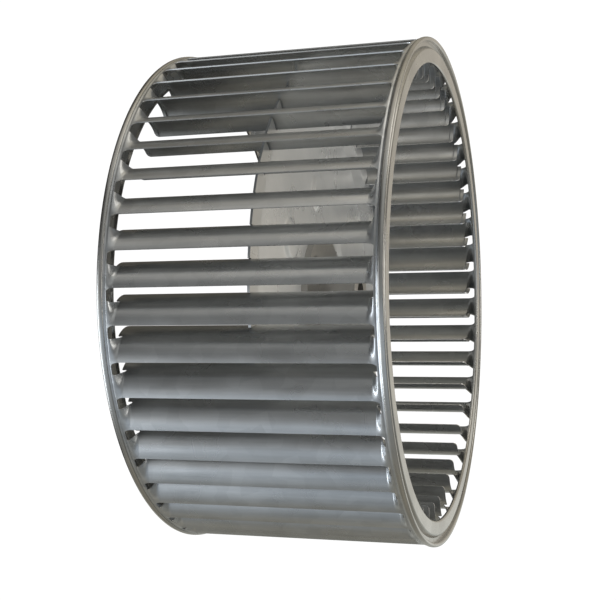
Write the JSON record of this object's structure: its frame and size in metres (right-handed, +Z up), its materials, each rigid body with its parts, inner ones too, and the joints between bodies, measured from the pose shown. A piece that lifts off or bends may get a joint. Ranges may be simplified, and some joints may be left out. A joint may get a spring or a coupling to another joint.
{
  "type": "blower wheel",
  "caption": "Double-inlet centrifugal blower wheel of galvanised sheet steel: forward-curved blades lanced from one strip, crimped end rings, and a centre disc with a bored hub",
  "frame": {"origin": "centre of the shaft bore at mid-width of the wheel", "axes": "+Y along the wheel's own axis towards the end that shows its ring face in the picture, +Z up, +X towards the viewer's side of the rim"},
  "size_m": [0.2666, 0.135, 0.2666],
  "materials": {
    "blade_sheet": "galvanised sheet, bluish grey with a faint spangle",
    "ring_sheet": "galvanised sheet, light warm grey",
    "disc_sheet": "galvanised sheet, light grey, pressed",
    "hub_steel": "turned steel, zinc plated",
    "screw_steel": "black oxide"
  },
  "bodies": {
    "root": {"blade_strip": "blade_sheet", "end_ring_right": "ring_sheet", "end_ring_left": "ring_sheet", "centre_disc": "disc_sheet", "hub": "hub_steel", "set_screw": "screw_steel"}
  },
  "joints": []
}
